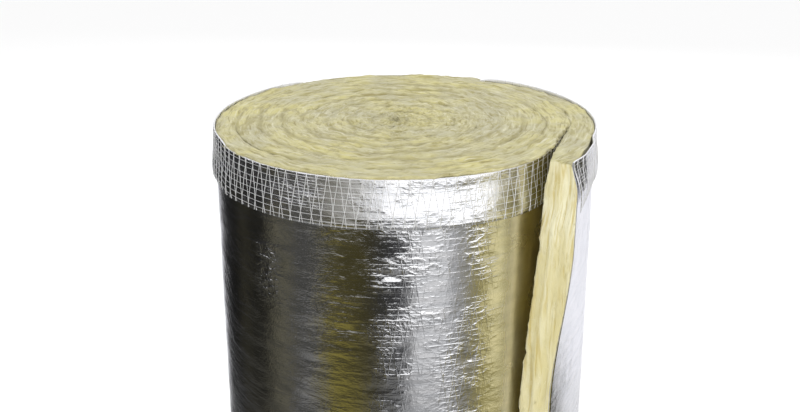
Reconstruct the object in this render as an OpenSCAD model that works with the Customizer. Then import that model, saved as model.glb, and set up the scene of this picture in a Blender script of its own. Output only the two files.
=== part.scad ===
// Foil-faced glass wool insulation, wound into a roll that stands on end.
// Origin: winding axis, on the floor. +Z runs up the axis, +X points to the side with the loose end.
// The blanket is one strip of wool. Its facing is one sheet on the outside, folded down as a flap at the top.

/* [Roll] */
// Width of the blanket, which is the height of the standing roll
blanket_width = 600; // [300:10:1200]
// Diameter of the wound roll, measured where the loose end doesn't lie
roll_diameter = 400; // [300:5:600]
// Distance from one turn to the next inside the roll, where winding presses the wool
turn_pitch = 25; // [15:1:40]
// Width of the groove that marks each turn on the two ends
groove_width = 2; // [1:0.5:4]
// Depth of that groove
groove_depth = 3; // [1:0.5:8]
// Radius of the blanket's tightly rolled start, where the groove stops
start_radius = 12; // [8:1:20]

/* [Outer turn] */
// Thickness of the wool in the outer turn, where it is free to spring back
wool_thickness = 30; // [20:1:50]
// How far the centre of the outer turn lies off the winding axis
outer_turn_shift = 10; // [6:0.5:16]
// Free width of the slit between the flap on the wound roll and the inside of the outer turn
slit_clearance = 2; // [1:0.5:4.5]
// Direction in which the slit closes and the turns lie on each other again
slit_end_angle = 22; // [10:1:60]

/* [Loose end] */
// Direction in which the loose end springs away from the roll
spring_angle = -18; // [-40:1:-5]
// Radius to which the loose end springs open
spring_radius = 2000; // [800:50:3000]
// Length of the loose end at the top of the roll
end_length = 103; // [60:1:120]
// Angle by which the end is cut out of square, longer at the bottom
cut_angle = 3; // [0:0.5:5]
// Direction in which the wound roll starts to give way under the outer turn
give_angle = -55; // [-65:1:-50]

/* [Facing] */
// Thickness of the foil laminate
facing_thickness = 0.3; // [0.2:0.1:0.6]
// Height of the flap that is folded down over the outside
flap_height = 50; // [30:1:80]
// Air between the facing and the flap
flap_gap = 0.9; // [0.4:0.1:1.5]
// Height by which the fold of the flap stands above the wool
fold_rise = 2; // [0.5:0.5:4]
// Least angle by which the facing stops short of the closed end of the slit
facing_setback = 2; // [1:1:6]

/* [Hidden] */

arc_step = 3;                                   // degrees between the points of an outline
groove_step = 9;                                // degrees between the points of the turn groove
roll_radius = roll_diameter / 2 - facing_thickness;
flap_inside = facing_thickness + flap_gap;
flap_outside = flap_inside + facing_thickness;
fold_top = blanket_width + fold_rise;
outer_centre = [outer_turn_shift, 0];
outer_radius = roll_radius + outer_turn_shift;  // touches the wound roll at 180 degrees
slit_width = flap_outside + slit_clearance;
slit_radius = outer_radius - wool_thickness - slit_width;
spring_centre = outer_centre + (outer_radius - spring_radius) * direction(spring_angle);
end_angle = spring_angle - degrees_of(end_length);
longest_end = end_length + blanket_width * tan(cut_angle);
longest_end_angle = spring_angle - degrees_of(longest_end);
slit_last_angle = 360 + slit_end_angle;
cut_margin = 1;                                 // by which the end cut is larger than what it cuts

wool_color = [0.86, 0.80, 0.52];
foil_color = [0.80, 0.81, 0.83];

function direction(a) = [cos(a), sin(a)];
function degrees_of(length) = length / spring_radius * 180 / PI;
function smooth(t) = let (u = max(0, min(1, t))) u * u * (3 - 2 * u);

// Distance from the winding axis to a circle of radius r about centre, in direction a
function distance_to_circle(centre, r, a) =
    let (along = centre * direction(a))
    along + sqrt(r * r - centre * centre + along * along);

// Radius of the wound roll. It gives way under the outer turn, and it stays a slit's width clear of
// the inside of the outer turn and of the loose end.
function core_radius(a) =
    let (
        under_turn = distance_to_circle(outer_centre, slit_radius, a),
        under_end = distance_to_circle(spring_centre, spring_radius - wool_thickness - slit_width, a),
        share = smooth((a - 360 - give_angle) / (spring_angle - give_angle)))
    min(roll_radius + (under_turn - roll_radius) * share,
        a - 360 < spring_angle ? under_end : under_turn);

// Point on the blanket's outside face, moved outwards by d. Direction a grows anticlockwise from
// the loose end, over the back and the front, to the closed end of the slit one turn later.
function face_point(a, d = 0) =
    a < spring_angle ? spring_centre + (spring_radius + d) * direction(a)
    : a < 180 ? outer_centre + (outer_radius + d) * direction(a)
    : (core_radius(a) + d) * direction(a);

// Directions from one angle to another, both included
function steps(from, to, step) =
    let (n = ceil(abs(to - from) / step)) [for (i = [0:n]) from + (to - from) * i / n];

// The outside face breaks at these directions, so each stretch has its own points
face_angles = concat(
    steps(longest_end_angle, spring_angle, arc_step / 2),
    steps(spring_angle + arc_step, 180, arc_step),
    steps(180 + arc_step, 360 + give_angle, arc_step),
    steps(360 + give_angle + arc_step, slit_last_angle, arc_step));

// The directions that the facing covers: it ends before the closed end of the slit
facing_angles = [for (a = face_angles) if (a <= slit_last_angle - facing_setback) a];

// The same directions back from the closed end of the slit to the loose end, for the inner face
inner_angles = concat(
    steps(slit_end_angle, spring_angle, arc_step),
    steps(spring_angle - arc_step / 2, longest_end_angle, arc_step / 2));

// Plan of the whole blanket: the wound roll, the slit and the loose end in one outline
module blanket_plan() {
    polygon(concat(
        [for (a = face_angles) face_point(a)],
        [for (a = inner_angles) face_point(a, -wool_thickness)]));
}

// Plan of a sheet that follows the outside face, between two distances from it
module sheet_plan(from, to) {
    polygon(concat(
        [for (a = facing_angles) face_point(a, to)],
        [for (i = [len(facing_angles) - 1:-1:0]) face_point(facing_angles[i], from)]));
}

// Groove that marks where one turn lies on the next: a spiral from the closed slit to the start
module turn_groove_plan() {
    groove_start = distance_to_circle(outer_centre, slit_radius + slit_width / 2, slit_end_angle);
    last = slit_end_angle + (groove_start - start_radius) / turn_pitch * 360;
    angles = steps(slit_end_angle - groove_step / 3, last, groove_step);
    function radius(a) = groove_start - (a - slit_end_angle) / 360 * turn_pitch;
    polygon(concat(
        [for (a = angles) (radius(a) + groove_width / 2) * direction(a)],
        [for (i = [len(angles) - 1:-1:0]) (radius(angles[i]) - groove_width / 2) * direction(angles[i])]));
}

// Everything beyond the slanted cut across the loose end. The strip bends away from the straight cut
// box by its bow, so the box is that much wider on the inside.
module beyond_end_cut() {
    reach = (longest_end - end_length) / cos(cut_angle) + cut_margin;
    bow = reach * reach / (2 * spring_radius);
    inside = wool_thickness + bow + cut_margin;
    outside = flap_outside + cut_margin;
    beyond = fold_rise + reach * tan(cut_angle) + cut_margin;
    height = blanket_width / cos(cut_angle) + 2 * beyond;
    corner = face_point(end_angle);
    translate([corner.x, corner.y, blanket_width])
        rotate([0, 0, end_angle])
            rotate([-cut_angle, 0, 0])
                translate([-inside, -reach, beyond - height])
                    cube([inside + outside, reach, height]);
}

module glass_wool_blanket() {
    color(wool_color)
        difference() {
            linear_extrude(blanket_width) blanket_plan();
            beyond_end_cut();
            for (z = [-groove_depth, blanket_width - groove_depth])
                translate([0, 0, z])
                    linear_extrude(2 * groove_depth) turn_groove_plan();
        }
}

// One sheet: up the outside of the wool, over the fold and down again as the flap
module foil_facing() {
    color(foil_color)
        difference() {
            union() {
                linear_extrude(fold_top) sheet_plan(0, facing_thickness);
                translate([0, 0, fold_top - flap_height])
                    linear_extrude(flap_height) sheet_plan(flap_inside, flap_outside);
                translate([0, 0, fold_top - facing_thickness])
                    linear_extrude(facing_thickness) sheet_plan(0, flap_outside);
            }
            beyond_end_cut();
        }
}

glass_wool_blanket();
foil_facing();
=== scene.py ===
import math
import random

import bmesh
import bpy
from mathutils import Matrix, Vector, noise


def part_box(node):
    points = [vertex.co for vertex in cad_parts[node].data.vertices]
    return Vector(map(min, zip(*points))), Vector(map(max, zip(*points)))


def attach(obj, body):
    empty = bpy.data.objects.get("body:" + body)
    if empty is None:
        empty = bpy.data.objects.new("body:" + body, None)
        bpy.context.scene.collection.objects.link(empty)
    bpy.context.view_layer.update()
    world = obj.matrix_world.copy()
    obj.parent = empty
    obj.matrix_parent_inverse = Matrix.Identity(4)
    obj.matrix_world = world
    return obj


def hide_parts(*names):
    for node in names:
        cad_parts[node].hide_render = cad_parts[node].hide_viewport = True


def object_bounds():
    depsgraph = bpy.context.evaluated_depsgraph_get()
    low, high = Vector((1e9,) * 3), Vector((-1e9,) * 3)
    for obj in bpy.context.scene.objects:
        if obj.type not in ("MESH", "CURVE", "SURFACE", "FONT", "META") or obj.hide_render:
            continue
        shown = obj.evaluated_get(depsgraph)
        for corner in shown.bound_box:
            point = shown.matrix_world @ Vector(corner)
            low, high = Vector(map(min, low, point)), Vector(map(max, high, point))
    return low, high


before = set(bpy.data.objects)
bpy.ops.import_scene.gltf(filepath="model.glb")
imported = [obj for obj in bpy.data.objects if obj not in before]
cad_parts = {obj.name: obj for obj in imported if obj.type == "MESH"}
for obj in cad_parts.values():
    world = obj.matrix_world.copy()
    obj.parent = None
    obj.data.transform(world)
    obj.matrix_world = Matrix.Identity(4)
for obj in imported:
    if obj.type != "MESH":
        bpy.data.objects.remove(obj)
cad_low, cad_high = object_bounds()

scene = bpy.context.scene


# --- The camera and the studio ------------------------------------------------------------------
# A camera a little above the roll looks down on its end. The roll stands on a pale floor in a white
# room, whose soft boxes and dark gaps the foil mirrors as upright bands.


def add_object(name, data):
    made = bpy.data.objects.new(name, data)
    scene.collection.objects.link(made)
    return made


camera = add_object("camera", bpy.data.cameras.new("camera"))
camera.location = (0.0046, -1.2573, 0.9612)
camera.rotation_euler = (math.radians(69.73), 0, 0)
camera.data.lens = 52.66
camera.data.clip_start = 0.01
scene.camera = camera

scene.view_settings.view_transform = "Standard"


def soft_light(name, place, target, size, watts, color):
    """A soft box that lights the roll. The foil mirrors the room's bands, not the lamps."""
    lamp = bpy.data.lights.new(name, "AREA")
    lamp.shape = "RECTANGLE"
    lamp.size, lamp.size_y = size
    lamp.energy = watts
    lamp.color = color
    holder = add_object(name, lamp)
    holder.location = place
    holder.rotation_euler = (Vector(target) - Vector(place)).to_track_quat("-Z", "Y").to_euler()
    holder.visible_glossy = False


soft_light("key_light", (-1.1, -2.1, 0.8), (0.1, 0, 0.45), (1.3, 1.3), 17, (1.0, 0.99, 0.97))
soft_light("fill_light", (1.5, -2.1, 0.9), (0, 0, 0.4), (1.4, 1.4), 26, (1.0, 0.99, 0.98))
soft_light("back_light", (0.3, 2.4, 1.6), (0, 0, 0.4), (2.0, 1.2), 17, (0.97, 0.98, 1.0))


class Nodes:
    """Adds nodes to a tree and links them, with plain values for the sockets that aren't linked."""

    def __init__(self, tree):
        self.tree = tree

    def add(self, kind, out=0, _set=None, **sockets):
        """Adds a node. Its sockets go by name, or by number as i0, i1. _set holds its own settings."""
        node = self.tree.nodes.new(kind)
        for name, value in (_set or {}).items():
            setattr(node, name, value)
        for name, value in sockets.items():
            key = int(name[1:]) if name[0] == "i" and name[1:].isdigit() else name.replace("_", " ")
            socket = node.inputs[key]
            if isinstance(value, bpy.types.NodeSocket):
                self.tree.links.new(value, socket)
            else:
                socket.default_value = value
        return node.outputs[out]

    def math(self, operation, a, b=0.0, c=0.0):
        return self.add("ShaderNodeMath", _set={"operation": operation}, i0=a, i1=b, i2=c)

    def remap(self, value, low, high, to_low=0.0, to_high=1.0, smooth=True):
        curve = "SMOOTHSTEP" if smooth else "LINEAR"
        return self.add("ShaderNodeMapRange", _set={"interpolation_type": curve},
                        i0=value, i1=low, i2=high, i3=to_low, i4=to_high)

    def mix(self, share, a, b):
        """Mixes two colours."""
        node = self.tree.nodes.new("ShaderNodeMix")
        node.data_type = "RGBA"
        for key, value in ((0, share), (6, a), (7, b)):
            if isinstance(value, bpy.types.NodeSocket):
                self.tree.links.new(value, node.inputs[key])
            else:
                node.inputs[key].default_value = value
        return node.outputs[2]

    def product(self, *factors):
        """Multiplies two or more values."""
        result = factors[0]
        for factor in factors[1:]:
            result = self.math("MULTIPLY", result, factor)
        return result

    def parts(self, vector):
        """Outputs for the x, y and z of a vector."""
        node = self.tree.nodes.new("ShaderNodeSeparateXYZ")
        self.tree.links.new(vector, node.inputs[0])
        return node.outputs


def new_material(name):
    """A new material, its main shader, and the helper that adds its nodes."""
    material = bpy.data.materials.new(name)
    material.use_nodes = True
    return material, material.node_tree.nodes["Principled BSDF"], Nodes(material.node_tree)


room = bpy.data.worlds.new("studio")
scene.world = room
room.use_nodes = True
room.node_tree.nodes.clear()
n = Nodes(room.node_tree)
toward = n.add("ShaderNodeTexCoord", out="Generated")
gone_x, gone_y, gone_z = n.parts(toward)
# The turn is 0 in front and grows to the right. The rise is 0 for a level look. Both are in degrees.
turn = n.product(n.math("ARCTAN2", gone_x, n.product(gone_y, -1.0)), 180 / math.pi)
rise = n.product(n.math("ARCSINE", gone_z), 180 / math.pi)


def round_the_room(stops):
    """Colour by direction, from (turn, brightness, warmth) stops. Warmth 1 is deep gold."""
    ramp = n.tree.nodes.new("ShaderNodeValToRGB")
    n.tree.links.new(n.remap(turn, -180, 180, smooth=False), ramp.inputs[0])
    while len(ramp.color_ramp.elements) < len(stops):
        ramp.color_ramp.elements.new(0.5)
    for stop, (angle, light, warm) in zip(ramp.color_ramp.elements, stops):
        stop.position = (angle + 180) / 360
        stop.color = (light, light * (1 - 0.17 * max(0.0, warm)), light * (1 - 0.85 * warm), 1)
    return ramp.outputs[0]


# Soft boxes with dark gaps at the height of the roll, a brighter ceiling, and a duller band low down.
# Higher up the room is white all round, and the floor is grey.
walls = round_the_room([
    (-180, 0.95, -0.06), (-163, 0.85, -0.06), (-151, 0.05, 0), (-132, 0.006, 0), (-120, 0.014, 0.3),
    (-113, 0.035, 0.5), (-106, 0.012, 0.3), (-91, 0.012, 0.3), (-83, 0.10, 0.42), (-74, 0.12, 0.42),
    (-64, 0.045, 0.1), (-52, 0.04, 0.1), (-40, 0.06, 0.7), (-22, 0.045, 0.8), (-8, 0.03, 0.1),
    (3, 0.045, -0.05), (9, 0.26, 0), (15, 0.68, 0), (31, 0.62, 0), (38, 0.34, 0), (47, 0.26, 0.3),
    (54, 0.26, 0.8), (60, 0.50, 0.68), (66, 0.76, 0.6), (72, 0.64, 0.65), (80, 0.32, 0.85),
    (90, 0.10, 1), (106, 0.02, 1), (125, 0.03, 1), (136, 0.9, -0.06), (180, 0.95, -0.06)])
ceiling = round_the_room([
    (-180, 0.06, 0), (-140, 0.035, 0), (-100, 0.022, 0), (-72, 0.035, 0.1), (-54, 0.10, 0.1),
    (-38, 0.24, 0.2), (-24, 0.46, 0.1), (-10, 0.85, 0), (4, 1.4, 0), (50, 1.4, 0), (60, 0.7, 0.3),
    (70, 0.24, 0.7), (84, 0.09, 0.95), (106, 0.05, 1), (134, 0.08, 0), (148, 0.9, -0.06),
    (165, 0.95, -0.06), (180, 0.12, 0)])
low = round_the_room([
    (-180, 0.7, 0), (-150, 0.10, 0), (-125, 0.04, 0), (-100, 0.05, 0.3), (-84, 0.06, 0.3),
    (-72, 0.07, 0.2), (-62, 0.20, 0), (-52, 0.17, 0.3), (-41, 0.22, 0.95), (-27, 0.15, 0.9),
    (-14, 0.10, 0.3), (2, 0.20, 0), (12, 0.36, 0), (34, 0.30, 0), (46, 0.13, 0.4), (60, 0.28, 0.8),
    (76, 0.30, 0.8), (92, 0.08, 1), (125, 0.03, 1), (140, 0.7, 0), (180, 0.7, 0)])
level_view = n.mix(n.remap(rise, -26, -32), walls, low)
high = n.mix(n.remap(rise, -19.5, -15.5), level_view, ceiling)
above = n.mix(n.remap(rise, -3, 9), high, (1.1, 1.1, 1.12, 1))
around = n.mix(n.remap(rise, -42, -60), above, (0.36, 0.36, 0.35, 1))
# The foil mirrors the bands, the wool is lit by an even white, and the background is white
mirrored = n.add("ShaderNodeBackground", Color=around, Strength=1.0)
lit = n.add("ShaderNodeBackground", Color=(1, 1, 1, 1), Strength=1.02)
seen = n.add("ShaderNodeBackground", Color=(1, 1, 1, 1), Strength=1.0)
ray = n.tree.nodes.new("ShaderNodeLightPath")
indirect = n.add("ShaderNodeMixShader", i0=ray.outputs["Is Glossy Ray"], i1=lit, i2=mirrored)
sky = n.add("ShaderNodeMixShader", i0=ray.outputs["Is Camera Ray"], i1=indirect, i2=seen)
n.tree.links.new(sky, n.tree.nodes.new("ShaderNodeOutputWorld").inputs[0])

floor_mesh = bmesh.new()
bmesh.ops.create_grid(floor_mesh, x_segments=1, y_segments=1, size=6)
floor_data = bpy.data.meshes.new("floor")
floor_mesh.to_mesh(floor_data)
floor_gap = 0.0005
floor = add_object("floor", floor_data)
floor.data.transform(Matrix.Translation((0, 0, cad_low.z - floor_gap)))
floor.visible_glossy = False
floor_paint, floor_shader, _ = new_material("pale_floor")
floor_shader.inputs["Base Color"].default_value = (0.93, 0.93, 0.93, 1)
floor_shader.inputs["Roughness"].default_value = 0.9
floor.data.materials.append(floor_paint)


# --- The glass wool blanket ---------------------------------------------------------------------
# One strip of yellow glass wool, wound on itself into a roll. It is soft and layered, so every turn
# swells between its creases, tufts stand up on the ends, and the outer end springs away.
wool_low, wool_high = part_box("glass_wool_blanket")
width = wool_high.z - wool_low.z
roll_radius = -wool_low.x               # where the outer turn isn't loose
outer_radius = (wool_high.x - wool_low.x) / 2
shift = wool_high.x - outer_radius      # of the outer turn's centre from the winding axis
thickness = 0.030                       # of the outer turn, where it isn't squeezed
slit = 0.0035                           # width of the slit inside the outer turn
pitch = 0.025                           # from one turn to the next
spring = -18                            # direction in which the loose end springs away
spring_radius = 2.0                     # to which it springs open
end_length = 0.103                      # of the loose end, at the top
give = -55                              # direction in which the wound roll starts to give way
slit_end = 22                           # direction in which the slit closes
cut_slope = math.tan(math.radians(3))   # of the cut across the loose end
start_radius = 0.003                    # at which the innermost turn ends


def direction(angle):
    return Vector((math.cos(math.radians(angle)), math.sin(math.radians(angle)), 0))


def smooth(t):
    u = max(0.0, min(1.0, t))
    return u * u * (3 - 2 * u)


outer_centre = Vector((shift, 0, 0))
spring_centre = outer_centre + (outer_radius - spring_radius) * direction(spring)


def turn_thickness(angle):
    """Thickness of the outer turn, which is squeezed a little where the slit is widest."""
    off = (angle + 180) % 360 - 180 - 6
    return thickness - 0.0045 * smooth(1 - abs(off) / 24)


def distance_to_circle(centre, radius, angle):
    along = centre.dot(direction(angle))
    return along + math.sqrt(radius * radius - centre.dot(centre) + along * along)


def core_radius(angle):
    """Radius of the wound roll at a direction from 180 to 382 degrees. It gives way under the outer turn."""
    under_turn = distance_to_circle(outer_centre, outer_radius - turn_thickness(angle) - slit, angle)
    under_end = distance_to_circle(spring_centre, spring_radius - thickness - slit, angle)
    share = smooth((angle - 360 - give) / (spring - give))
    given = roll_radius + (under_turn - roll_radius) * share
    return min(given, under_end if angle - 360 < spring else under_turn)


def turn_radius(angle):
    """Outside of the strip at a direction, from the closed end of the slit inwards."""
    first = distance_to_circle(outer_centre, outer_radius - turn_thickness(slit_end) - slit / 2, slit_end)
    return first - (angle - 360 - slit_end) / 360 * pitch


def outside(angle):
    """Point on the strip's outside and the way out from it, from the loose end to the innermost turn."""
    if angle < spring:
        return spring_centre + spring_radius * direction(angle), direction(angle)
    if angle < 180:
        return outer_centre + outer_radius * direction(angle), direction(angle)
    if angle < 360 + slit_end:
        return core_radius(angle) * direction(angle), direction(angle)
    settle = smooth((angle - 360 - slit_end) / 14)
    edge = core_radius(360 + slit_end)
    radius = edge + (turn_radius(angle) - edge) * settle
    return radius * direction(angle), direction(angle)


def polar(point):
    return math.degrees(math.atan2(point.y, point.x))


def inside(angle):
    """Point on the strip's inside: loose under the outer turn, and against the next turn elsewhere."""
    face, out = outside(angle)
    loose = face - (turn_thickness(angle) if angle >= spring else thickness) * out
    if angle < slit_end - 6:
        return loose
    inner_angle = polar(face) % 360 + 360 * (1 + angle // 360)
    if angle < 0:
        inner_angle = 360 + polar(face)
    next_face, next_out = outside(inner_angle)
    pressed = next_face + 0.0001 * next_out
    if pressed.length > face.length - 0.004 or pressed.dot(direction(inner_angle)) < 0.0006:
        pressed = direction(inner_angle) * max(0.0004, face.length - pitch)
    return loose.lerp(pressed, smooth((angle - slit_end + 6) / 12))


def bow_out(up):
    """How far the loose end's outside stands off its plan: out near the top, in lower down.

    up is the height as a share of the width.
    """
    return (0.0065 - 0.016 * smooth((0.86 - up) / 0.30)) * smooth(up / 0.35)


def bow_in(up):
    """The same for its inside, where the torn wool is plump below the top."""
    top = 0.004 * (1 - smooth((1 - up) / 0.05))
    return (0.0027 - 0.015 * smooth((0.98 - up) / 0.50) + top) * smooth(up / 0.35)


def bulge(reach, up):
    """Swelling of the loose end's outside near the top, part of the way along. It is 1 at its largest."""
    return smooth(min(reach * 3.2, (1 - reach) * 3.0)) * smooth((up - 0.90) / 0.08)


def drawn_in(up):
    """How far the loose end's corner is drawn in at the top."""
    return 0.007 * (1 - smooth((1 - up) / 0.05))


def slant(angle, height):
    """Direction in the loose end, and how far along it that is, where the cut's slant has drawn it out."""
    if angle >= spring:
        return angle, 0
    longest = math.degrees((end_length + (width - height) * cut_slope) / spring_radius)
    top = math.degrees(end_length / spring_radius)
    angle = spring - (spring - angle) * longest / top
    return angle, (spring - angle) / longest


def strip_point(angle, across, height):
    """Point in the strip. across runs from 0 outside to 1 inside. The loose end is cut on a slant."""
    up = height / width
    angle, reach = slant(angle, height)
    face, out = outside(angle)
    point = face.lerp(inside(angle), across)
    outer = reach * reach * (bow_out(up) - drawn_in(up)) + 0.0022 * bulge(reach, up)
    point = point + out * (outer * (1 - across) + reach * reach * bow_in(up) * across)
    point.z = height
    return point


def window(value, first, last, soft):
    """1 between two values and 0 outside them, with soft ends."""
    return smooth((value - first) / soft + 0.5) * smooth((last - value) / soft + 0.5)


def bare(angle):
    """1 where the fold of the facing shows above the wool, 0 where the wool spills over it."""
    return max(window(angle, -60, 62, 8), window(angle, 126, 207, 8))


def sunk(angle):
    """How far the outer turn has settled at the far side of the roll."""
    return 0.0032 * window(angle, 62, 126, 22)


def fluff(point, waves, size, seed):
    """Soft noise from -1 to 1, drawn out along the winding. waves is how many there are in a radian."""
    off_axis = point.xy.length
    round_it = point.xy / max(off_axis, 0.004) * waves
    return noise.noise(Vector((round_it.x + seed, round_it.y - seed, off_axis / size)))


end_angle = spring - math.degrees(end_length / spring_radius)


def stations(first, last, spacing):
    """Directions along the strip, evenly spaced on its middle, with the length wound up to each."""
    found, angle, way = [], first, 0.0
    while angle < last:
        found.append((angle, way))
        face, _ = outside(angle)
        middle_radius = max(0.012, (face.length + max(0.0, face.length - pitch)) / 2)
        angle += math.degrees(spacing / middle_radius)
        way += spacing
    found.append((last, way))
    return found


last_angle = 360 + slit_end + (turn_radius(360 + slit_end) - start_radius) / pitch * 360
wound = stations(spring + 1.0, last_angle, spacing=0.0024)
# The wool's end stands up in tufts of several sizes: height, waves in a radian, size across, seed
tufts = [(0.0018, 2.4, 0.026, 3.1), (0.0016, 5.0, 0.0085, 7.7), (0.0012, 9.0, 0.0042, 12.3)]


def swell(point, angle, way, across):
    """How far the wool stands over its cut end, at a place on the end of the strip."""
    crease = 0.0026 * max(0.0, 0.35 + fluff(point, 1.7, 0.024, 2.9)) * abs(2 * across - 1) ** 3
    rise = 0.0002 - crease
    for most, waves, size, seed in tufts:
        rise += most * fluff(point, waves, size, seed)
    rise += 0.0013 * noise.noise(Vector((point.x * 90, point.y * 90, 21.0)))
    dimple = smooth(1 - point.xy.length / 0.045)
    rise -= 0.0012 * dimple
    covered = 1 - bare(angle)
    if across < 0.3 and angle < 360 + slit_end:
        tuft = max(0.0, noise.noise(Vector((way * 60, 0.2, 40.0))) + 0.1)
        rise = max(rise, -0.0004 * covered)
        rise += (1 - across / 0.3) * (0.0008 * covered + 0.0034 * tuft - 0.0022 * window(angle, 26, 64, 8))
        rise -= (1 - across / 0.3) * 0.0012 * bare(angle)
    rise -= sunk(angle) * smooth((0.75 - across) / 0.5)
    return rise


def overhang(angle, way):
    """How far the wool's top edge spills out over the fold of the facing."""
    ragged = 0.0024 * noise.noise(Vector((way * 130, 0.3, 31.0)))
    ragged += 0.0034 * noise.noise(Vector((way * 38, 0.3, 33.0)))
    covered = 1 - bare(angle)
    return covered * (0.0026 + ragged) - 0.0010 * (1 - covered)


def wander(point):
    """Moves a place on the roll's end sideways, so that the turns aren't true circles."""
    inner = smooth((roll_radius - 0.012 - point.xy.length) / 0.05)
    for size, reach, seed in ((0.060, 0.0055, 51.0), (0.022, 0.0026, 57.0)):
        spot = Vector((point.x / size, point.y / size, seed))
        point.x += inner * reach * noise.noise(spot)
        point.y += inner * reach * noise.noise(spot + Vector((0, 0, 3.0)))
    return point


def cross_section(levels, top_cells, bottom_cells):
    """Corners round the strip's cross section as (across, height share), from the outside top."""
    ring = [(i / top_cells, 1.0) for i in range(top_cells + 1)]
    ring += [(1.0, level) for level in reversed(levels)]
    ring += [(1 - i / bottom_cells, 0.0) for i in range(bottom_cells + 1)]
    ring += [(0.0, level) for level in levels]
    return ring


lip_share = 0.9945                      # height share above which the wool spills outwards


def wool_point(angle, way, across, share):
    """Point on the skin of the wool. It has tufts and ragged edges, and the facing presses its side."""
    point = strip_point(angle, across, share * width)
    rise = swell(point, angle, way, across) if share in (0, 1) or share > lip_share else 0
    _, out = outside(angle)
    if share == 1:
        point.z += rise
    elif share > lip_share:
        point.z += rise * 0.5
    elif share == 0:
        point.z -= 0.3 * min(0, rise)
    if across == 0 and angle < 360 + slit_end:
        pressed_in = 0.0020 - 0.0019 * smooth((spring - angle) / (spring - end_angle))
        spill = overhang(angle, way) * (0.7 if share == 1 else 1.0)
        point += out * (spill if share > lip_share else -pressed_in)
    if across == 1 and share == 1 and spring < angle < slit_end:
        point -= out * (0.0008 + 0.0009 * noise.noise(Vector((way * 70, 0.9, 35.0))))
    if share == 1 and angle > slit_end + 8:
        point = wander(point)
    return point


wool = bmesh.new()
across_mark = wool.verts.layers.float.new("across")
share_mark = wool.verts.layers.float.new("share")


def wind(places, ring):
    """Bends a grid into the strip: its columns are places along the strip, its rows go round a section."""
    made = bmesh.ops.create_grid(wool, x_segments=len(places) - 1, y_segments=len(ring), size=1)["verts"]
    for vert in made:
        i = round((vert.co.x + 1) / 2 * (len(places) - 1))
        j = round((vert.co.y + 1) / 2 * len(ring)) % len(ring)
        vert[across_mark], vert[share_mark] = ring[j]
        vert.co = wool_point(*places[i], *ring[j])


across_cells = 16
rows = 150
loose_cells = 30
cut_way = -0.10                         # length wound at the cut, before the spring's 0
deep_levels = [0.02, 0.5, 0.975, 0.9937, 0.9973, 0.9992]
wind(wound, cross_section(deep_levels, across_cells, 2))
fine_levels = sorted({i / rows for i in range(1, rows)} | set(deep_levels))
loose_places = [(end_angle + (spring + 0.2 - end_angle) * i / loose_cells,
                 cut_way * (loose_cells - i) / loose_cells) for i in range(loose_cells + 1)]
wind(loose_places, cross_section(fine_levels, across_cells, across_cells))

# The cut end: a sheet of cells between the strip's outside and inside, torn into upright layers
end_rows = [0.0] + fine_levels + [1.0]
cut_face = bmesh.ops.create_grid(wool, x_segments=across_cells, y_segments=len(end_rows) - 1, size=1)
for vert in cut_face["verts"]:
    vert[across_mark] = round((vert.co.x + 1) / 2 * across_cells) / across_cells
    vert[share_mark] = end_rows[round((vert.co.y + 1) / 2 * (len(end_rows) - 1))]
    vert.co = wool_point(end_angle, cut_way, vert[across_mark], vert[share_mark])
bmesh.ops.remove_doubles(wool, verts=wool.verts, dist=0.00001)
out_of_end = Vector((math.sin(math.radians(end_angle)), -math.cos(math.radians(end_angle)), 0))
for vert in cut_face["verts"]:
    if not vert.is_valid:
        continue
    h, across = vert.co.z, vert[across_mark]
    fold = noise.noise(Vector((across * 5.0 + 1.4 * noise.noise(Vector((h * 7, 0.5, 3.5))), h * 5.0, 5.5)))
    lumps = noise.noise(Vector((across * 2.2, h * 26.0, 9.5)))
    within = smooth(min(across, 1 - across) * 4)
    torn = noise.noise(Vector((h * 60, across, 61.0))) + 0.6 * noise.noise(Vector((h * 170, across, 63.0)))
    vert.co += out_of_end * (0.2 + 0.8 * within) * (0.0017 * fold + 0.0013 * lumps)
    vert.co -= direction(end_angle) * (1 - within) * (1 if across > 0.5 else -0.12) * 0.0026 * torn

# The two lengths of strip are joined stretch by stretch, because the loose one has finer rows
rims = [e for e in wool.edges if e.is_boundary]
start_rim = [e for e in rims if e.verts[0].co.xy.length < 0.05]
join_rims = [e for e in rims if e.verts[0].co.xy.length >= 0.05]
stretches = [(0, 1, 1, 1), (0, 1, 0, 0)]
for low_level, high_level in zip([0.0] + deep_levels, deep_levels + [1.0]):
    stretches += [(0, 0, low_level, high_level), (1, 1, low_level, high_level)]


def on_stretch(vert, across_from, across_to, low_level, high_level):
    slack = 1e-5
    return (across_from - slack <= vert[across_mark] <= across_to + slack
            and low_level - slack <= vert[share_mark] <= high_level + slack)


for ends in stretches:
    bmesh.ops.bridge_loops(wool, edges=[e for e in join_rims if all(on_stretch(v, *ends) for v in e.verts)])
bmesh.ops.holes_fill(wool, edges=start_rim, sides=0)

# Where two turns press on each other their top edges are sharp, so the crease isn't shaded as a rounding
for edge in wool.edges:
    on_top = all(v[share_mark] > 0.9999 for v in edge.verts)
    on_side = all(min(v[across_mark], 1 - v[across_mark]) < 0.0001 for v in edge.verts)
    corner = edge.verts[0].co
    beside_slit = -62 < polar(corner) < slit_end + 2 and corner.xy.length > 0.155
    pressed = on_top and on_side and not beside_slit
    edge.smooth = not (pressed and corner.xy.length < roll_radius - 0.012)
wool.verts.layers.float.remove(share_mark)
bmesh.ops.recalc_face_normals(wool, faces=wool.faces)
for f in wool.faces:
    f.smooth = True
wool_data = bpy.data.meshes.new("glass_wool_strip")
wool.to_mesh(wool_data)
wool_roll = add_object("wool_blanket", wool_data)

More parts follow.
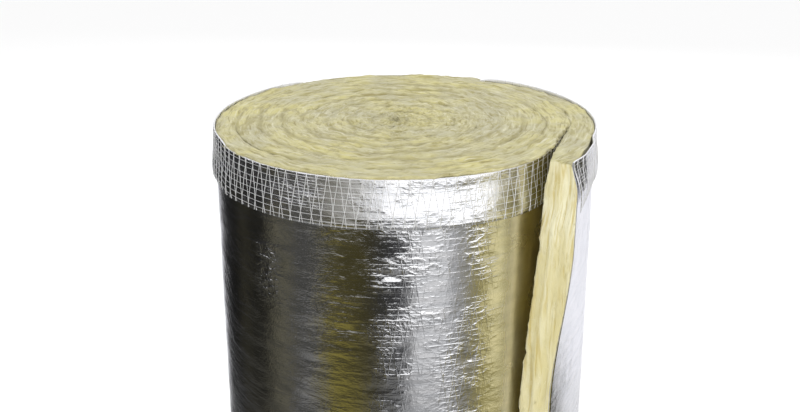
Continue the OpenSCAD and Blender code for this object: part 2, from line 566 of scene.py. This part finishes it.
wool_fibre, wool_shader, n = new_material("glass_wool")
place = n.add("ShaderNodeTexCoord", out="Object")
swirl = n.add("ShaderNodeTexNoise", Vector=place, Scale=16.0, Detail=2.0)
place_x, place_y, place_z = n.parts(place)
level_place = n.add("ShaderNodeCombineXYZ", X=place_x, Y=place_y)
off_axis = n.add("ShaderNodeVectorMath", out="Value", _set={"operation": "LENGTH"}, i0=level_place)
off_axis = n.math("MULTIPLY_ADD", swirl, 0.012, off_axis)
out_x, out_y, _ = n.parts(n.add("ShaderNodeVectorMath", _set={"operation": "NORMALIZE"}, i0=level_place))


def layers(fineness, drawn_out, detail):
    """Noise that changes fast through the wool's layers and slowly along them."""
    vector = n.add("ShaderNodeCombineXYZ",
                   X=n.math("MULTIPLY_ADD", out_x, drawn_out, n.product(place_z, 14)),
                   Y=n.math("MULTIPLY_ADD", out_y, drawn_out, n.product(place_z, 9)),
                   Z=n.product(off_axis, fineness))
    return n.add("ShaderNodeTexNoise", Vector=vector, Scale=1.0, Detail=detail, Roughness=0.62,
                 Distortion=0.5)


streaks = layers(360, 5.5, 4.0)
sheets = layers(95, 2.2, 3.0)
clumps = layers(150, 8.0, 4.0)
patches = n.add("ShaderNodeTexNoise", Vector=place, Scale=15.0, Detail=3.0, Roughness=0.6)
# The cut end is cleaner and paler than the end of the roll
out_of_cut = n.add("ShaderNodeVectorMath", out="Value", _set={"operation": "DOT_PRODUCT"},
                   i0=n.add("ShaderNodeNewGeometry", out="True Normal"), i1=out_of_end)
clean = n.product(n.remap(out_of_cut, 0.3, 0.7), n.remap(place_x, 0.125, 0.131))
shade = n.mix(n.remap(patches, 0.36, 0.66), (0.48, 0.455, 0.295, 1), (0.575, 0.53, 0.245, 1))
shade = n.mix(n.remap(clumps, 0.54, 0.34, 0.0, 0.9), shade, (0.365, 0.325, 0.145, 1))
dark = n.mix(n.product(n.remap(streaks, 0.47, 0.31), 0.8), shade, (0.27, 0.225, 0.085, 1))
pale = n.mix(n.product(n.remap(streaks, 0.54, 0.72), 0.95), dark, (0.67, 0.64, 0.46, 1))
# In the creases between the turns the wool is shaded, more in some places than in others
across_strip = n.add("ShaderNodeAttribute", out="Fac", _set={"attribute_name": "across"})
from_middle = n.math("ABSOLUTE", n.math("MULTIPLY_ADD", across_strip, 2.0, -1.0))
in_crease = n.product(n.remap(from_middle, 0.55, 1.0), n.remap(swirl, 0.38, 0.58, 0.12, 0.64),
                      n.remap(off_axis, 0.192, 0.178))
pale = n.mix(in_crease, pale, (0.31, 0.275, 0.125, 1))
cream = n.mix(n.remap(sheets, 0.36, 0.64), (0.49, 0.445, 0.25, 1), (0.58, 0.555, 0.39, 1))
# Lower down, the cut end is darkened: painted shade
cream = n.mix(n.remap(place_z, 0.55, 0.40, 0.0, 0.5), cream, (0.44, 0.39, 0.19, 1))
cream = n.mix(n.product(n.remap(streaks, 0.50, 0.33), 0.7), cream, (0.37, 0.29, 0.09, 1))
skin = n.mix(clean, pale, cream)
# The rim that spills over the facing has no clean cut; its side is darkened with painted shade
_, _, facing_up = n.parts(n.add("ShaderNodeNewGeometry", out="True Normal"))
rim_painted_shade = n.product(n.remap(facing_up, 0.75, 0.2), n.remap(place_z, 0.592, 0.595),
                   n.math("SUBTRACT", 1.0, clean))
skin = n.mix(n.product(rim_painted_shade, 0.7), skin, (0.33, 0.30, 0.165, 1))
n.tree.links.new(skin, wool_shader.inputs["Base Color"])
wool_shader.inputs["Roughness"].default_value = 0.95
wool_shader.inputs["Sheen Weight"].default_value = 0.2
wool_shader.inputs["Specular IOR Level"].default_value = 0.15
relief = n.product(clumps, n.remap(clean, 0, 1, 0.6, 0.4))
relief = n.math("ADD", relief, n.product(streaks, n.remap(clean, 0, 1, 0.45, 0.75)))
relief = n.math("ADD", relief, n.product(sheets, 0.8))
bump = n.add("ShaderNodeBump", Strength=0.6, Distance=0.0032, Height=relief)
n.tree.links.new(bump, wool_shader.inputs["Normal"])
wool_data.materials.append(wool_fibre)
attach(wool_roll, "root")
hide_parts("glass_wool_blanket")


# --- Loose fibres -------------------------------------------------------------------------------
# Wisps of glass fibre that stand out of the wool's cut end, its top and its edges, and catch the
# light. Each is a short bent hair. On the top they lie mostly along the turns.
hair = bpy.data.curves.new("fibres", "CURVE")
hair.dimensions = "3D"
hair.bevel_depth = 0.00013
hair.bevel_resolution = 0
hair.use_fill_caps = True
hair_chance = random.Random(11)
top_wisps = 4200
cut_wisps = 700
slit_wisps = 800
rim_wisps = 700


def grow(start, heading, up, length):
    """Grows one wisp from a point, first along heading, rising by up and bending at random."""
    spline = hair.splines.new("POLY")
    spline.points.add(3)
    spot, course = start.copy(), heading.normalized()
    for k, point in enumerate(spline.points):
        point.co = (*spot, 1)
        point.radius = 1.0 - 0.25 * k
        course = (course + Vector([hair_chance.uniform(-0.45, 0.45) for _ in range(3)]) * 0.7).normalized()
        course.z = course.z * 0.35 + up * (1 - k / 3)
        spot = spot + course * length / 3
        spot.z = max(spot.z, wool_low.z + 0.0005)


for _ in range(top_wisps):
    angle, way = wound[int(hair_chance.random() ** 0.8 * (len(wound) - 1))]
    across = hair_chance.random()
    root = wool_point(angle, way, across, 1)
    root.z -= 0.0004
    along_turn = Vector((-root.y, root.x, 0)).normalized() * hair_chance.choice((-1, 1))
    near_rim = angle < 360 + slit_end and across < 0.25
    grow(root, along_turn + Vector((hair_chance.uniform(-0.7, 0.7), hair_chance.uniform(-0.7, 0.7), 0)),
         hair_chance.uniform(0.0, 0.5 if near_rim else 0.22), hair_chance.uniform(0.005, 0.014))
for _ in range(cut_wisps):
    level = width * hair_chance.random()
    across = hair_chance.uniform(0.02, 0.98)
    root = strip_point(end_angle, across, level) + out_of_end * 0.0004
    grow(root, Vector((hair_chance.uniform(-0.2, 0.2), 0, hair_chance.choice((-1, 1)))) + out_of_end * 0.35,
         hair_chance.choice((-1, 1)) * 0.5, hair_chance.uniform(0.004, 0.013))
# Both sides of the slit are fluffy, and so is the rim that spills over the facing at the front
slit_sides = [(a, w, 1.0, -1) for a, w in wound if a < slit_end]
slit_sides += [(a, w, 0.0, 1) for a, w in wound if 360 + spring < a < 360 + slit_end]
front_rim = [(a, w, 0.0, 1) for a, w in wound if 207 < a < 360 + spring]
for places, count in ((slit_sides, slit_wisps), (front_rim, rim_wisps)):
    for _ in range(count):
        angle, way, across, toward = hair_chance.choice(places)
        root = wool_point(angle, way, across, 1)
        root.z -= hair_chance.uniform(0.0002, 0.0016)
        _, out = outside(angle)
        along_turn = Vector((-out.y, out.x, 0)) * hair_chance.uniform(-1.6, 1.6)
        grow(root, out * toward + along_turn,
             hair_chance.uniform(-0.25, 0.2), hair_chance.uniform(0.002, 0.0055))


def mesh_of(name, curve):
    """Object with the mesh of a curve's tubes."""
    draft = add_object(name + "_draft", curve)
    evaluated = draft.evaluated_get(bpy.context.evaluated_depsgraph_get())
    tubes = bpy.data.meshes.new_from_object(evaluated)
    bpy.data.objects.remove(draft)
    tubes.materials.clear()
    return add_object(name, tubes)


fibres = mesh_of("wool_fibres", hair)
glass_hair, hair_shader, n = new_material("glass_fibre")
tint = n.add("ShaderNodeTexNoise", Vector=n.add("ShaderNodeTexCoord", out="Object"), Scale=90.0, Detail=2.0)
n.tree.links.new(n.mix(n.remap(tint, 0.35, 0.65), (0.40, 0.36, 0.17, 1), (0.62, 0.59, 0.41, 1)),
                 hair_shader.inputs["Base Color"])
hair_shader.inputs["Roughness"].default_value = 0.7
fibres.data.materials.append(glass_hair)
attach(fibres, "root")


# --- The foil facing ----------------------------------------------------------------------------
# One sheet of aluminium foil laminate, stuck to the outside of the wool and folded down over itself
# at the top as a taping flap. Winding has crinkled it into fine rings and small dents.
_, foil_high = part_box("foil_facing")
fold_height = foil_high.z
flap_height = 0.050
flap_gap = 0.0012                       # from the facing to the outside of the flap
foil_gauge = 0.00025
foil_last = 360 + slit_end - 3          # direction in which the sheet ends, inside the slit
sheet_step = 0.006                      # between places along the sheet
level_spacing = 0.0061                  # between the level yarns of the net in the laminate
slant_spacing = 0.0115                  # between the slanting ones
# Lengths up the sheet at which the fold starts and ends
straight = fold_height - wool_low.z - flap_gap / 2
flap_start = straight + math.pi * flap_gap / 2

# A place along the sheet is its length from the loose end: 0.79 is at the left, 1.11 in front and 1.28
# where the slit opens. Dents of the sheet: place along it, height, half length, half height, depth
dents = [
    (1.110, 0.5010, 0.021, 0.0045, 0.0010), (0.055, 0.395, 0.004, 0.035, 0.0014),
    (1.212, 0.513, 0.012, 0.005, 0.0013), (1.062, 0.440, 0.016, 0.005, 0.0011),
    (0.985, 0.505, 0.012, 0.007, 0.0010), (1.190, 0.402, 0.018, 0.005, 0.0012),
    (0.620, 0.450, 0.022, 0.006, 0.0016), (0.410, 0.330, 0.020, 0.007, 0.0014),
    (1.120, 0.290, 0.024, 0.007, 0.0018), (0.250, 0.480, 0.018, 0.006, 0.0013)]
deepest = -0.0019                       # place of the foil, which keeps it clear of the wool


def crinkle(way, height):
    """Wrinkles of the stuck foil, out from the roll: soft level ones that fade away, and dents."""
    rings = noise.noise(Vector((way * 20, height * 78, 1.5)))
    fine = noise.noise(Vector((way * 40, height * 170, 4.5)))
    swelling = noise.noise(Vector((way * 7, height * 9, 11.5)))
    pressed = 0.0
    for along, level, half_length, half_height, depth in dents:
        side = abs(way - along) / half_length
        uneven = 0.9 * noise.noise(Vector((way * 170, height * 60, 27.5)))
        over = (height - level) / half_height + 1.4 - 1.9 * side + uneven
        if side < 1 and abs(over) < 1:
            pressed += depth * (1 - side) * (1 - abs(over) if over > 0 else (1 + over) ** 0.4)
    # The wrinkles are larger left of the middle, and nearly gone from there to the slit
    soft = noise.noise(Vector((way * 11 + height * 5, height * 88, 21.5))) * window(way, 0.965, 1.045, 0.03)
    calm = 1 - 0.82 * window(way, 1.045, 1.30, 0.03)
    wrinkled = 0.00045 * rings * calm + 0.00075 * soft + 0.00008 * fine + 0.0006 * swelling
    return max(deepest, wrinkled - pressed)


def foil_point(angle, way, along):
    """Point on the sheet's outside. along is the length up the sheet, over the fold and down the flap."""
    fold_start = straight - 0.0042 * (1 - bare(angle)) - sunk(angle)
    along = along if along > straight else along * fold_start / straight
    reach = max(0.0, min(1.0, (spring - angle) / (spring - end_angle)))
    stand = 0.0003 - 0.0002 * reach
    if along <= fold_start + 1e-7:
        height = along
        held = max(reach, smooth((along / fold_start - 0.93) / 0.06))
        out_by = stand + crinkle(way, along) * (1 - 0.9 * held)
    elif along <= flap_start + 1e-7:
        bend = (along - straight) / (flap_gap / 2)
        height = fold_start + math.sin(bend) * flap_gap / 2
        out_by = stand + (1 - math.cos(bend)) * flap_gap / 2 + 0.3 * crinkle(way, fold_start)
    else:
        down = along - flap_start
        height = fold_start - down
        share = down / flap_height
        flare = 0.0025 + 0.0015 * (0.5 + 0.5 * noise.noise(Vector((way * 8, 0.3, 14.5))))
        waves = noise.noise(Vector((way * 26 + down * 14, down * 30, 17.5)))
        waves += 0.28 * noise.noise(Vector((way * 115 + down * 50, down * 190, 19.5)))
        out_by = stand + flap_gap + flare * smooth(share * 1.1) + 0.0008 * waves * smooth(share * 4)
        out_by += 0.3 * crinkle(way, fold_start) * (1 - share)
    level = max(0.0, min(width, height))
    up = level / width
    angle, _ = slant(angle, level)
    face, out = outside(angle)
    loose_by = reach * reach * (bow_out(up) - drawn_in(up)) + 0.0055 * bulge(reach, up)
    point = face + out * (out_by + loose_by)
    point.z = height
    return point


def foil_stations():
    """Directions of places along the sheet, with the length from the loose end to each."""
    found, angle, way = [], end_angle, 0.0
    while angle < foil_last:
        found.append((angle, way))
        here = spring_radius if angle < spring else 0.2
        angle += math.degrees(sheet_step / here)
        way += sheet_step
    found.append((foil_last, way))
    return found


sheet_places = foil_stations()
side_rows, fold_rows, flap_rows = 130, 4, 20
# Rows lie closer where the largest dents are
sheet_rows = [straight * i / side_rows for i in range(side_rows + 1)]
sheet_rows = sorted(set(sheet_rows + [0.486 + 0.0016 * i for i in range(12)]))
sheet_rows += [straight + math.pi * flap_gap / 2 * i / fold_rows for i in range(1, fold_rows + 1)]
sheet_rows += [flap_start + flap_height * i / flap_rows for i in range(1, flap_rows + 1)]
foil = bmesh.new()
last_place, last_row = len(sheet_places) - 1, len(sheet_rows) - 1
sheet = bmesh.ops.create_grid(foil, x_segments=last_place, y_segments=last_row, size=1)["verts"]
strip_map = foil.loops.layers.uv.new("Strip")
where = {}
for vert in sheet:
    i = round((vert.co.x + 1) / 2 * last_place)
    j = round((vert.co.y + 1) / 2 * last_row)
    angle, way = sheet_places[i]
    where[vert] = (way, sheet_rows[j])
    vert.co = foil_point(angle, way, sheet_rows[j])
for f in foil.faces:
    f.smooth = True
    for loop in f.loops:
        loop[strip_map].uv = where[loop.vert]
foil_data = bpy.data.meshes.new("foil_sheet")
foil.to_mesh(foil_data)
foil_sheet = add_object("foil_facing_sheet", foil_data)
gauge = foil_sheet.modifiers.new("gauge", "SOLIDIFY")
gauge.thickness = foil_gauge
gauge.offset = -1

foil_metal, foil_shader, n = new_material("aluminium_foil")
strip = n.add("ShaderNodeUVMap", _set={"uv_map": "Strip"})


def scaled(across, up):
    return n.add("ShaderNodeMapping", Vector=strip, Scale=(across, up, 1))


# Length along the sheet from the loose end, and length up it
along_it, up_it, _ = n.parts(strip)
patches = n.add("ShaderNodeTexNoise", Vector=scaled(26, 26), Scale=1.0, Detail=3.0)
rings = n.add("ShaderNodeTexNoise", Vector=scaled(34, 130), Scale=1.0, Detail=3.0, Roughness=0.5,
              Distortion=0.5)
grain = n.add("ShaderNodeTexNoise", Vector=scaled(520, 640), Scale=1.0, Detail=2.0, Roughness=0.6)
creases = n.add("ShaderNodeTexNoise", _set={"noise_type": "RIDGED_MULTIFRACTAL"}, Vector=scaled(70, 120),
                Scale=1.0, Detail=3.0, Roughness=0.55, Lacunarity=2.1, Offset=0.9, Gain=1.4)
crumple = n.add("ShaderNodeTexVoronoi", Vector=scaled(330, 300), Scale=1.0, Randomness=1.0)


def yarn_line(slope, spacing, half_width):
    """1 on the lines of one set of yarns under the foil, 0 between them. Level yarns have no slope."""
    across_yarns = up_it
    if slope is not None:
        across_yarns = n.math("MULTIPLY_ADD", up_it, slope, along_it)
    return n.remap(n.math("PINGPONG", across_yarns, spacing / 2), half_width, 0.0)


def largest(*values):
    """The largest of two or more values."""
    result = values[0]
    for value in values[1:]:
        result = n.math("MAXIMUM", result, value)
    return result


# Handling has crumpled the foil across the front, in a patch at the left, and on the flap. Beside the slit
# and on the far side it is smoother.
on_flap = n.remap(up_it, flap_start - 0.002, flap_start)
off_flap = n.math("SUBTRACT", 1.0, on_flap)
front = n.product(n.remap(along_it, 1.06, 1.125), n.remap(along_it, 1.235, 1.20))
patch = n.product(n.product(n.remap(along_it, 0.935, 0.955), n.remap(along_it, 0.995, 0.975)),
                  n.product(n.remap(up_it, 0.435, 0.46), n.remap(up_it, 0.52, 0.505)))
far_side = n.remap(along_it, 0.09, 0.16, 0.06, 0.24)
handled = largest(front, patch, n.product(on_flap, 0.8), far_side)
crumpled = n.product(handled, n.remap(patches, 0.40, 0.62, 0.25, 1.0))
lean = 0.15                             # of the slanting yarns
net = largest(yarn_line(None, level_spacing, 0.0008), yarn_line(lean, slant_spacing, 0.0008),
              yarn_line(-lean, slant_spacing, 0.0008))
# At the left edge the foil has fine slanting scratches
slanted = n.add("ShaderNodeMapping", Vector=strip, Rotation=(0, 0, 0.75))
slanted = n.add("ShaderNodeMapping", Vector=slanted, Scale=(26, 260, 1))
slanted = n.add("ShaderNodeTexNoise", Scale=1.0, Detail=1.0, Distortion=0.3, Vector=slanted)
scratched = n.product(n.remap(along_it, 0.76, 0.80), n.remap(along_it, 0.93, 0.86))
ring_share = n.product(n.remap(patches, 0.35, 0.65, 0.40, 0.75), n.remap(along_it, 1.03, 1.08, 1.0, 0.38))
relief = n.product(rings, ring_share)
for pattern, share in (
        (grain, n.remap(along_it, 1.02, 1.07, 0.19, 0.045)),
        (creases, n.product(crumpled, 0.19)),
        (crumple, n.product(crumpled, 0.13)),
        (creases, n.product(patch, 0.22)),
        (n.remap(slanted, 0.56, 0.68), n.product(scratched, 0.22)),
        (net, n.product(crumpled, 0.09))):
    relief = n.math("ADD", relief, n.product(pattern, share))
bump = n.add("ShaderNodeBump", Strength=1.0, Distance=0.001, Height=relief)
n.tree.links.new(bump, foil_shader.inputs["Normal"])
foil_shader.inputs["Metallic"].default_value = 1.0
tone = n.mix(n.remap(rings, 0.3, 0.7), (0.82, 0.83, 0.86, 1), (0.93, 0.93, 0.95, 1))
# Beside the slit, light thrown back and forth with the yellow wool has a deep gold cast
by_the_slit = n.remap(along_it, 1.225, 1.27)
tone = n.mix(n.product(by_the_slit, off_flap), tone, (0.60, 0.51, 0.23, 1))
flap_by_the_slit = n.remap(along_it, 1.225, 1.28)
tone = n.mix(n.product(flap_by_the_slit, on_flap), tone, (0.40, 0.36, 0.20, 1))
n.tree.links.new(tone, foil_shader.inputs["Base Color"])
# The sheet is duller on the flap, beside the slit, at its cut edge and just under the fold
dull_by_slit = n.product(n.remap(along_it, 1.215, 1.24, 0.0, 0.20), n.remap(on_flap, 0, 1, 1.0, 0.35))
cut_edge = n.remap(along_it, 0.0025, 0.0005)
near_fold = n.product(n.remap(up_it, straight - 0.010, straight - 0.004), off_flap)
gloss = n.remap(patches, 0.3, 0.7, 0.07, 0.14)
for more in (n.product(on_flap, 0.06), dull_by_slit, n.product(largest(near_fold, cut_edge), 0.3)):
    gloss = n.math("ADD", gloss, more)
n.tree.links.new(gloss, foil_shader.inputs["Roughness"])
foil_data.materials.append(foil_metal)
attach(foil_sheet, "root")
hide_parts("foil_facing")


# --- The scrim on the flap ----------------------------------------------------------------------
# Glass yarns laid into the laminate as a net. The flap shows its inner side, so the net is on top:
# level yarns, and two slanting sets that run from the fold to the cut lower edge.
yarn = bpy.data.curves.new("scrim_yarns", "CURVE")
yarn.dimensions = "3D"
yarn.bevel_depth = 0.00035
yarn.bevel_resolution = 1
yarn.use_fill_caps = True
chance = random.Random(7)
flap_length = sheet_places[-1][1]
yarn_stand = 0.00022                    # from the flap's face to the middle of a yarn


def angle_at(way):
    """Direction of the place that lies a length along the sheet."""
    i = min(len(sheet_places) - 2, int(way / sheet_step))
    (a, w), (b, v) = sheet_places[i], sheet_places[i + 1]
    return a + (b - a) * (way - w) / (v - w)


def lay(points, thick=1.0):
    """Lays one yarn on the flap through places (way, down from the fold). Less than 0 is over the fold."""
    spline = yarn.splines.new("POLY")
    spline.points.add(len(points) - 1)
    for point, (way, down) in zip(spline.points, points):
        angle = angle_at(max(0.0, min(flap_length, way)))
        spot = foil_point(angle, way, flap_start + down)
        _, out = outside(angle)
        bend = math.pi * max(0.0, min(1.0, 1 + down / (flap_start - straight)))
        spot = spot + yarn_stand * (math.sin(bend) * Vector((0, 0, 1)) - math.cos(bend) * out)
        point.co = (*spot, 1)
        point.radius = thick


level_yarns = 8
for k in range(level_yarns):
    level = 0.003 + k * level_spacing
    drift = chance.random() * 9
    lay([(w * sheet_step, level + 0.0007 * noise.noise(Vector((w * 0.09, drift, 2.5))))
         for w in range(int(flap_length / sheet_step))], 0.60)
# The slanting yarns start below the fold on the facing, and run over it and down the flap
fold_down = straight - flap_start
yarn_downs = [-0.008, -0.0047, fold_down, fold_down / 2] + [flap_height * i / 12 for i in range(13)]
for lean_way in (-1, 1):
    for k in range(int(flap_length / slant_spacing) + 1):
        start = k * slant_spacing + chance.uniform(-0.0012, 0.0012)
        slope = lean_way * math.tan(math.radians(8.5 + chance.uniform(-0.8, 0.8)))
        path = []
        for down in yarn_downs:
            stray = 0.0006 * noise.noise(Vector((down * 90, k * 1.7, lean_way)))
            path.append((start + slope * down + stray, down))
        if 0.001 < path[0][0] < flap_length and 0.001 < path[-1][0] < flap_length:
            lay(path, 1.0 if lean_way < 0 else 0.8)

scrim = mesh_of("flap_scrim", yarn)
glass_yarn, yarn_shader, n = new_material("glass_yarn")
twist = n.add("ShaderNodeTexNoise", Vector=n.add("ShaderNodeTexCoord", out="Object"), Scale=900.0, Detail=2.0)
n.tree.links.new(n.mix(n.remap(twist, 0.3, 0.7), (0.62, 0.62, 0.63, 1), (0.90, 0.90, 0.90, 1)),
                 yarn_shader.inputs["Base Color"])
yarn_shader.inputs["Metallic"].default_value = 0.72
yarn_shader.inputs["Roughness"].default_value = 0.42
scrim.data.materials.append(glass_yarn)
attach(scrim, "root")
